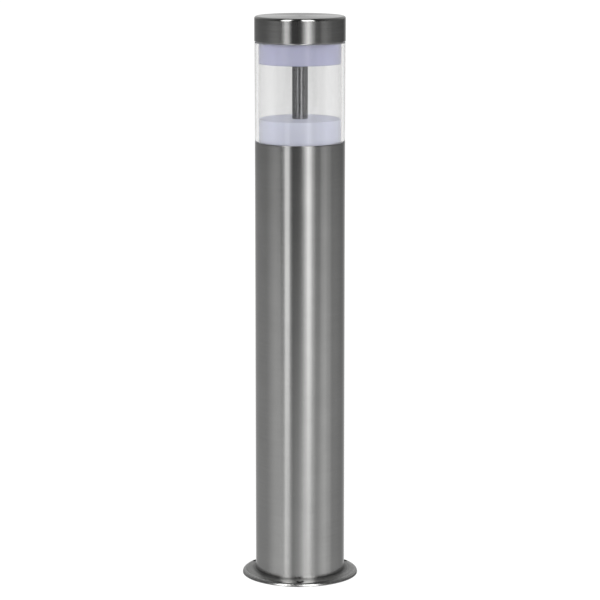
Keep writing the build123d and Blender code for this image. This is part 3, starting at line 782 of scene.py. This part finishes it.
@dataclass
class Foot:
    """The pressed foot flange with its three anchor holes."""

    span: Span = span_of("base_flange")
    post: Span = span_of("post_tube")
    edge_rise: float = 2.6
    sheet: float = 1.5
    rim_round: float = 2.4
    inner_round: float = 0.9
    hole_r: float = 3.1
    hole_setback: float = 5.95
    hole_count: int = 3
    first_hole_deg: float = -90.0  # at the front, in the middle
    deburr: float = 0.12
    drill_below: float = 2.0  # how far the drill runs past the ground
    drill_above: float = 4.0  # and past the flange's upper face
    drill_steps: int = 48
    steps: int = 288
    rounding_faces: int = 8
    sharp_deg: float = 30.0

    def slope(self) -> float:
        """Gives the fall of the flange for each millimetre out from the post."""
        return (self.span.top - self.edge_rise) / (self.span.radius - self.post.radius)

    def outline(self) -> list[Corner]:
        """Gives the half section of the dish.

        Returns:
            Radius, level and rounding of each corner, in millimetres.
        """
        drop = self.sheet * math.hypot(1, self.slope())
        outer, rise = self.span.radius, self.span.top
        under = self.edge_rise + self.slope() * self.sheet - drop
        return [
            (self.post.radius, rise),
            (outer, self.edge_rise, self.rim_round),
            (outer, 0.0),
            (outer - self.sheet, 0.0),
            (outer - self.sheet, under, self.inner_round),
            (self.post.radius, rise - drop),
        ]

    def drill(self, name: str) -> bpy.types.Object:
        """Makes the three drills that cut the anchor holes and break their upper edges.

        Args:
            name: The cutter's name.

        Returns:
            One object holding all the drills.
        """
        mouth = self.span.top - self.slope() * self.hole_setback
        circle = self.post.radius + self.hole_setback
        bm = bmesh.new()
        for number in range(self.hole_count):
            drill = turned(
                [
                    (0, -self.drill_below),
                    (self.hole_r, -self.drill_below),
                    (self.hole_r, mouth - self.deburr),
                    (self.hole_r + 2 * self.deburr, mouth + self.deburr),
                    (self.hole_r + 2 * self.deburr, mouth + self.drill_above),
                    (0, mouth + self.drill_above),
                ],
                steps=self.drill_steps,
            )
            bearing = self.first_hole_deg + 360 / self.hole_count * number
            turn = Matrix.Rotation(math.radians(bearing), 4, "Z")
            bmesh.ops.transform(
                drill, matrix=turn @ Matrix.Translation((circle * MM, 0, 0)), verts=drill.verts[:]
            )
            part = bpy.data.meshes.new(name)
            drill.to_mesh(part)
            drill.free()
            bm.from_mesh(part)
            bpy.data.meshes.remove(part)
        return finish_mesh(bm, name)

    def build(self) -> bpy.types.Object:
        """Builds the flange, drills it and dresses it.

        Returns:
            The finished flange.
        """
        blank = finish_mesh(turned(self.outline(), self.steps, self.rounding_faces), "flange_blank")
        drill = self.drill("flange_drill")
        cut = blank.modifiers.new("holes", "BOOLEAN")
        cut.operation = "DIFFERENCE"
        cut.solver = "EXACT"
        cut.object = drill
        bpy.context.view_layer.update()
        drilled = blank.evaluated_get(bpy.context.evaluated_depsgraph_get())
        mesh = bpy.data.meshes.new_from_object(drilled)
        mesh.name = "foot_flange"
        flange = place_mesh(mesh, "foot_flange", self.sharp_deg)
        for spare in (blank, drill):
            bpy.data.objects.remove(spare)
        FLANGE_STEEL.put_on(flange)
        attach(flange, Body.ROOT.value)
        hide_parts("base_flange")
        return flange


@dataclass
class Post:
    """The stainless tube."""

    span: Span = span_of("post_tube")
    wall: float = 1.2
    rim_round: float = 0.35

    def build(self) -> bpy.types.Object:
        """Builds and dresses the tube.

        Returns:
            The finished post.
        """
        outer, inner = self.span.radius, self.span.radius - self.wall
        corners = [
            (outer, self.span.foot),
            (outer, self.span.top, self.rim_round),
            (inner, self.span.top),
            (inner, self.span.foot),
        ]
        post = finish_mesh(turned(corners, steps=OUTER_STEPS), "stainless_post")
        POST_STEEL.put_on(post)
        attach(post, Body.ROOT.value)
        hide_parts("post_tube")
        return post


@dataclass
class Lantern:
    """The clear tube, its gaskets, the two opal diffusers and the bright centre rod."""

    tube: Span = span_of("clear_lens")
    foot_gasket: Span = span_of("lens_foot_gasket")
    cap_gasket: Span = span_of("cap_gasket")
    lower: Span = span_of("lower_diffuser")
    upper: Span = span_of("upper_diffuser")
    jacket: Span = span_of("rod_sleeve")
    tube_wall: float = 3.0
    tube_round: float = 0.3
    tube_faces: int = 3  # across each rounded edge, as for the other pieces
    gasket_width: float = 1.8
    gasket_round: float = 0.15
    gasket_faces: int = 2
    diffuser_wall: float = 2.0
    diffuser_round: float = 0.6
    diffuser_faces: int = 5
    bore_r: float = 5.2  # of the rod's jacket and the diffusers, round the tie pipe
    jacket_round: float = 0.2
    jacket_faces: int = 3
    pieces: list[bpy.types.Object] = field(default_factory=list)

    def keep(self, piece: bpy.types.Object, finish: Finish, body: Body, node: str) -> None:
        """Dresses a piece, puts it on its body, hides the frame's node that it stands for and keeps the
        piece.

        Args:
            piece: The built piece.
            finish: What it is made of.
            body: The body it rides on.
            node: The frame's node that it stands for.
        """
        finish.put_on(piece)
        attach(piece, body.value)
        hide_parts(node)
        self.pieces.append(piece)

    def lens(self) -> None:
        """Builds the clear tube with lightly broken edges."""
        corners = sleeve(self.tube, self.tube.radius - self.tube_wall, self.tube_round, self.tube_round)
        tube = finish_mesh(turned(corners, OUTER_STEPS, self.tube_faces), "clear_tube")
        self.keep(tube, CLEAR_TUBE, Body.LENS, "clear_lens")

    def gasket(self, name: str, span: Span, body: Body, node: str) -> None:
        """Builds one flat gasket.

        Args:
            name: The gasket's name.
            span: Where it lies.
            body: The body it rides on.
            node: The frame's node that it stands for.
        """
        corners = sleeve(span, span.radius - self.gasket_width, self.gasket_round, self.gasket_round)
        ring = finish_mesh(turned(corners, segments=self.gasket_faces), name)
        self.keep(ring, SILICONE, body, node)

    def diffuser(self, name: str, face: float, mouth: float, finish: Finish, node: str) -> None:
        """Builds one opal cup.

        Args:
            name: The cup's name.
            face: The level of its closed face.
            mouth: The level of its open mouth.
            finish: What it is made of.
            node: The frame's node that it stands for.
        """
        inward = math.copysign(self.diffuser_wall, mouth - face)
        outer, bore = self.lower.radius, self.lower.radius - self.diffuser_wall
        corners = [
            (self.bore_r, face),
            (outer, face, self.diffuser_round),
            (outer, mouth),
            (bore, mouth),
            (bore, face + inward),
            (self.bore_r, face + inward),
        ]
        cup = finish_mesh(turned(corners, segments=self.diffuser_faces), name)
        self.keep(cup, finish, Body.ROOT, node)

    def rod(self) -> None:
        """Builds the bright jacket round the tie pipe."""
        corners = sleeve(self.jacket, self.bore_r, self.jacket_round)
        rod = finish_mesh(turned(corners, SLIM_STEPS, self.jacket_faces), "bright_rod")
        self.keep(rod, ROD_STEEL, Body.ROOT, "rod_sleeve")

    def build(self) -> list[bpy.types.Object]:
        """Builds every piece of the lantern.

        Returns:
            The finished pieces.
        """
        self.lens()
        self.gasket("foot_gasket", self.foot_gasket, Body.ROOT, "lens_foot_gasket")
        self.gasket("cap_gasket_ring", self.cap_gasket, Body.CAP_SEAT, "cap_gasket")
        self.diffuser("lower_opal_cup", self.lower.top, self.lower.foot, OPAL, "lower_diffuser")
        self.diffuser("upper_opal_cup", self.upper.foot, self.upper.top, PAINTED_SHADE_OPAL, "upper_diffuser")
        self.rod()
        return self.pieces


@dataclass
class Cap:
    """The drawn stainless cap."""

    span: Span = span_of("top_cap")
    diffuser: Span = span_of("upper_diffuser")
    sheet: float = 1.0
    lip_gap: float = 0.5  # between the inturned lip and the upper diffuser
    top_round: float = 2.1
    foot_round: float = 0.8
    rounding_faces: int = 8

    def build(self) -> bpy.types.Object:
        """Builds and dresses the cap.

        Returns:
            The finished cap.
        """
        outer, foot, top = self.span.radius, self.span.foot, self.span.top
        inner, lip = outer - self.sheet, self.diffuser.radius + self.lip_gap
        ceiling, shelf = top - self.sheet, foot + self.sheet
        corners = [
            (0, top),
            (outer, top, self.top_round),
            (outer, foot, self.foot_round),
            (lip, foot),
            (lip, shelf),
            (inner, shelf),
            (inner, ceiling, self.top_round - self.sheet),
            (0, ceiling),
        ]
        cap = finish_mesh(turned(corners, OUTER_STEPS, self.rounding_faces), "drawn_cap")
        CAP_STEEL.put_on(cap)
        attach(cap, Body.CAP.value)
        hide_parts("top_cap")
        return cap


@dataclass
class InnerWorks:
    """Everything inside: the frame's own nodes, dressed in what each is made of."""

    frame: dict[str, object]

    def build(self) -> int:
        """Dresses each node by its slot in the record.

        Returns:
            How many nodes were dressed.
        """
        slots = {part["node"]: part["material_slot"] for part in self.frame["record"]["subparts"]}
        for name, node in self.frame["nodes"].items():
            SLOT_FINISHES[slots[name]].put_on(node)
        return len(slots)


# ---------------------------------------------------------------- studio


DISC_STEPS = 64
TUBE_SKINS = 2.0  # the skins that a look through the clear tube's near wall passes
SKIN_SLACK = 1.4  # one skin more or less counts as well


def mirrored(tree: bpy.types.NodeTree) -> bpy.types.NodeSocket:
    """Tells light paths that metal has turned from those that come straight or within the clear tube.

    Args:
        tree: The node tree that asks.

    Returns:
        One where a gloss has been met in the open or past both of the tube's skins, and nought elsewhere.
    """
    path = add_node(tree, "ShaderNodeLightPath")
    glossy = add_node(
        tree,
        "ShaderNodeMath",
        settings={"operation": "GREATER_THAN"},
        values={1: 0.5},
        links={0: path.outputs["Glossy Depth"]},
    ).outputs[0]
    skins = add_node(
        tree,
        "ShaderNodeMath",
        settings={"operation": "COMPARE"},
        values={1: TUBE_SKINS, 2: SKIN_SLACK},
        links={0: path.outputs["Transmission Depth"]},
    ).outputs[0]
    return add_node(
        tree, "ShaderNodeMath", settings={"operation": "GREATER_THAN"}, links={0: glossy, 1: skins}
    ).outputs[0]


@dataclass
class Studio:
    """A pale floor, soft light from strips all round, and the camera."""

    floor_r: float = 30.0
    floor_tone: str = "#2f2f2f"
    floor_glow: float = 1.03
    fill: float = 2.9  # soft light gathered by matt pieces within the clear tube, which dims it
    open_fill: float = 1.0  # the same for matt pieces in the open
    # A black disc under the foot: painted shade where the foot hides the floor.
    painted_shade_r: float = 47.0
    painted_shade_lift: float = 0.1
    camera_place: tuple[float, float, float] = (0.0, -2.184, 0.624)
    pitch_deg: float = 10.03
    lens_mm: float = 156.88
    sensor_mm: float = 36.0
    sight_m: float = 100.0
    overhead_watts: float = 20.0
    overhead_size: float = 2.0
    overhead_place: tuple[float, float, float] = (0.0, -0.6, 2.2)
    overhead_tilt_deg: float = -15.0
    # The elevations, in degrees, between which each ring of light takes over from what is below it.
    table_from: tuple[float, float] = (-46, -34)
    beneath_from: tuple[float, float] = (-14, -9)
    level_from: tuple[float, float] = (-8, -4)
    raised_from: tuple[float, float] = (1, 8)
    ceiling_from: tuple[float, float] = (50, 70)
    # Light level of the room round the post by bearing, in degrees from the camera: at eye level, a
    # little below it and near the table, where the paler room shows.
    level_with: tuple[tuple[float, float], ...] = (
        (-180, 0.72),
        (-165, 0.4),
        (-145, 0.18),
        (-100, 0.1),
        (-60, 0.1),
        (-50, 0.02),
        (-46, 0.08),
        (-42, 0.62),
        (-37, 0.66),
        (-33, 0.42),
        (-28, 0.02),
        (-4, 0.01),
        (5, 0.03),
        (10, 0.25),
        (16, 0.9),
        (21, 0.95),
        (26, 0.3),
        (31, 0.03),
        (50, 0.02),
        (58, 0.09),
        (65, 0.09),
        (76, 0.07),
        (90, 0.08),
        (140, 0.08),
        (165, 0.4),
        (180, 0.72),
    )
    beneath: tuple[tuple[float, float], ...] = (
        (-180, 0.7),
        (-170, 1.0),
        (-158, 0.5),
        (-145, 0.42),
        (-100, 0.46),
        (-64, 0.84),
        (-53, 0.74),
        (-48, 0.2),
        (-42, 0.12),
        (-36, 2.3),
        (-29, 2.7),
        (-24, 0.7),
        (-18, 0.1),
        (-8, 0.03),
        (0, 0.08),
        (8, 0.4),
        (14, 1.4),
        (21, 3.2),
        (26, 3.1),
        (33, 1.4),
        (42, 0.6),
        (50, 0.46),
        (60, 0.9),
        (68, 1.02),
        (78, 0.78),
        (92, 0.48),
        (140, 0.3),
        (158, 0.5),
        (170, 1.0),
        (180, 0.7),
    )
    table: tuple[tuple[float, float], ...] = (
        (-180, 0.6),
        (-170, 0.9),
        (-158, 0.5),
        (-145, 0.44),
        (-100, 0.5),
        (-60, 0.84),
        (-46, 1.0),
        (-38, 1.25),
        (-29, 0.8),
        (-18, 0.58),
        (-6, 0.74),
        (2, 1.0),
        (10, 1.25),
        (20, 1.05),
        (30, 0.74),
        (44, 0.66),
        (56, 0.86),
        (66, 0.94),
        (78, 0.78),
        (95, 0.5),
        (140, 0.36),
        (158, 0.5),
        (170, 0.9),
        (180, 0.6),
    )
    # The strips alone, which stand on up past eye level to a dark ceiling, and which the table's gloss
    # doubles close under the post.
    raised: tuple[tuple[float, float], ...] = (
        (-180, 0.53),
        (-150, 0.44),
        (-110, 0.2),
        (-52, 0.05),
        (-46, 4.0),
        (-27, 4.0),
        (-22, 0.05),
        (3, 0.05),
        (9, 4.4),
        (33, 4.4),
        (40, 0.05),
        (110, 0.2),
        (150, 0.44),
        (180, 0.53),
    )
    ceiling: float = 0.05

    def ring(
        self, tree: bpy.types.NodeTree, share: bpy.types.NodeSocket, levels: tuple[tuple[float, float], ...]
    ) -> bpy.types.NodeSocket:
        """Adds one ring of light levels by bearing.

        Args:
            tree: The world's node tree.
            share: The bearing as a share of a turn.
            levels: Degrees and light level, from low to high.

        Returns:
            The light level.
        """
        brightest = max(level for _, level in levels)
        ramp = add_node(tree, "ShaderNodeValToRGB", links={0: share})
        set_ramp(ramp, [((deg + 180) / 360, level / brightest) for deg, level in levels])
        return add_node(
            tree,
            "ShaderNodeMath",
            settings={"operation": "MULTIPLY"},
            values={1: brightest},
            links={0: ramp.outputs[0]},
        ).outputs[0]

    def rise(
        self, tree: bpy.types.NodeTree, height: bpy.types.NodeSocket, between: tuple[float, float]
    ) -> bpy.types.NodeSocket:
        """Adds a share that eases from nought to one between two elevations.

        Args:
            tree: The world's node tree.
            height: The upward share of the looking direction.
            between: The lower and the upper elevation, in degrees.

        Returns:
            The share.
        """
        low, high = (math.sin(math.radians(elevation)) for elevation in between)
        return add_node(
            tree,
            "ShaderNodeMapRange",
            settings={"interpolation_type": "SMOOTHSTEP"},
            values={1: low, 2: high},
            links={0: height},
        ).outputs[0]

    def room_level(self, tree: bpy.types.NodeTree) -> bpy.types.NodeSocket:
        """Adds the light that metal mirrors: upright strips by bearing, paler below and dim overhead.

        Args:
            tree: The world's node tree.

        Returns:
            The light level.
        """
        heading = add_node(tree, "ShaderNodeTexCoord").outputs["Generated"]
        parts = add_node(tree, "ShaderNodeSeparateXYZ", links={0: heading})
        behind = add_node(
            tree,
            "ShaderNodeMath",
            settings={"operation": "MULTIPLY"},
            values={1: -1.0},
            links={0: parts.outputs[1]},
        ).outputs[0]
        bearing = add_node(
            tree, "ShaderNodeMath", settings={"operation": "ARCTAN2"}, links={0: parts.outputs[0], 1: behind}
        ).outputs[0]
        share = add_node(
            tree, "ShaderNodeMapRange", values={1: -math.pi, 2: math.pi}, links={0: bearing}
        ).outputs[0]
        height = parts.outputs[2]
        rings = (
            (self.table, self.table_from),
            (self.beneath, self.beneath_from),
            (self.level_with, self.level_from),
            (self.raised, self.raised_from),
        )
        level = self.ring(tree, share, self.raised)
        for levels, between in rings:
            risen, ring = self.rise(tree, height, between), self.ring(tree, share, levels)
            level = add_node(
                tree, "ShaderNodeMix", settings={"data_type": "FLOAT"}, links={0: risen, 2: level, 3: ring}
            ).outputs[0]
        return add_node(
            tree,
            "ShaderNodeMix",
            settings={"data_type": "FLOAT"},
            values={3: self.ceiling},
            links={0: self.rise(tree, height, self.ceiling_from), 2: level},
        ).outputs[0]

    def plain_level(self, tree: bpy.types.NodeTree) -> bpy.types.NodeSocket:
        """Adds the even light behind the object, which is also what matt pieces gather.

        Args:
            tree: The world's node tree.

        Returns:
            The light level.
        """
        path = add_node(tree, "ShaderNodeLightPath")
        within = add_node(
            tree,
            "ShaderNodeMapRange",
            values={3: self.open_fill, 4: self.fill},
            links={0: path.outputs["Transmission Depth"]},
        ).outputs[0]
        return add_node(
            tree, "ShaderNodeMapRange", values={3: 1.0}, links={0: path.outputs["Diffuse Depth"], 4: within}
        ).outputs[0]

    def world(self) -> None:
        """Makes the surrounding light, one level for metal's mirroring and another for the rest."""
        world = bpy.data.worlds.new("soft_studio")
        bpy.context.scene.world = world
        world.use_nodes = True
        tree = world.node_tree
        tree.nodes.clear()
        room, plain = (
            add_node(
                tree, "ShaderNodeBackground", values={"Color": linear("#ffffff")}, links={"Strength": level}
            ).outputs[0]
            for level in (self.room_level(tree), self.plain_level(tree))
        )
        seen = add_node(tree, "ShaderNodeMixShader", links={0: mirrored(tree), 1: plain, 2: room}).outputs[0]
        add_node(tree, "ShaderNodeOutputWorld", links={"Surface": seen})

    def overhead(self) -> None:
        """Hangs the big soft light that brightens matt pieces from above and stays out of mirrors."""
        light = bpy.data.lights.new("overhead_soft_light", "AREA")
        light.shape = "DISK"
        light.size = self.overhead_size
        light.energy = self.overhead_watts
        lamp = bpy.data.objects.new("overhead_soft_light", light)
        lamp.location = self.overhead_place
        lamp.rotation_euler = (math.radians(self.overhead_tilt_deg), 0, 0)
        lamp.visible_glossy = False
        lamp.visible_transmission = False
        bpy.context.scene.collection.objects.link(lamp)

    def floor(self) -> None:
        """Lays the pale floor. Metal mirrors the room past it, as it would from a small table."""
        bm = bmesh.new()
        bmesh.ops.create_circle(bm, cap_ends=True, segments=DISC_STEPS, radius=self.floor_r)
        floor = finish_mesh(bm, "studio_floor")
        paint = bpy.data.materials.new("white_paper_floor")
        paint.use_nodes = True
        tree = paint.node_tree
        tree.nodes.clear()
        glow = add_node(
            tree, "ShaderNodeEmission", values={"Color": linear("#ffffff"), "Strength": self.floor_glow}
        ).outputs[0]
        matt = add_node(tree, "ShaderNodeBsdfDiffuse", values={"Color": linear(self.floor_tone)}).outputs[0]
        both = add_node(tree, "ShaderNodeAddShader", links={0: glow, 1: matt}).outputs[0]
        clear = add_node(tree, "ShaderNodeBsdfTransparent").outputs[0]
        shown = add_node(tree, "ShaderNodeMixShader", links={0: mirrored(tree), 1: both, 2: clear}).outputs[0]
        add_node(tree, "ShaderNodeOutputMaterial", links={"Surface": shown})
        floor.data.materials.append(paint)

    def lay_painted_shade(self) -> None:
        """Lays a black disc under the foot as painted shade, so that the anchor holes look down into dark."""
        bm = bmesh.new()
        bmesh.ops.create_circle(
            bm,
            cap_ends=True,
            segments=DISC_STEPS,
            radius=self.painted_shade_r * MM,
            matrix=Matrix.Translation((0, 0, self.painted_shade_lift * MM)),
        )
        disc = finish_mesh(bm, "painted_shade_disc")
        Grained("painted_shade_black", "#050505", roughness=0.95).put_on(disc)

    def camera(self) -> None:
        """Stands the camera a little above the object and tips it down."""
        lens = bpy.data.cameras.new("studio_camera")
        lens.lens = self.lens_mm
        lens.sensor_width = self.sensor_mm
        lens.clip_end = self.sight_m
        camera = bpy.data.objects.new("studio_camera", lens)
        camera.location = self.camera_place
        camera.rotation_euler = (math.radians(90 - self.pitch_deg), 0, 0)
        bpy.context.scene.collection.objects.link(camera)
        bpy.context.scene.camera = camera

    def build(self) -> None:
        """Sets up light, floor and camera."""
        bpy.context.scene.view_settings.view_transform = "Standard"
        self.world()
        self.overhead()
        self.floor()
        self.lay_painted_shade()
        self.camera()


def main() -> None:
    """Builds the bollard light round its frame and reports each piece."""
    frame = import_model()
    log.info("inner works: %d nodes dressed", InnerWorks(frame).build())
    log.info("foot: %s", Foot().build().name)
    log.info("post: %s", Post().build().name)
    for piece in Lantern().build():
        log.info("lantern: %s", piece.name)
    log.info("cap: %s", Cap().build().name)
    Studio().build()


if __name__ == "__main__":
    main()
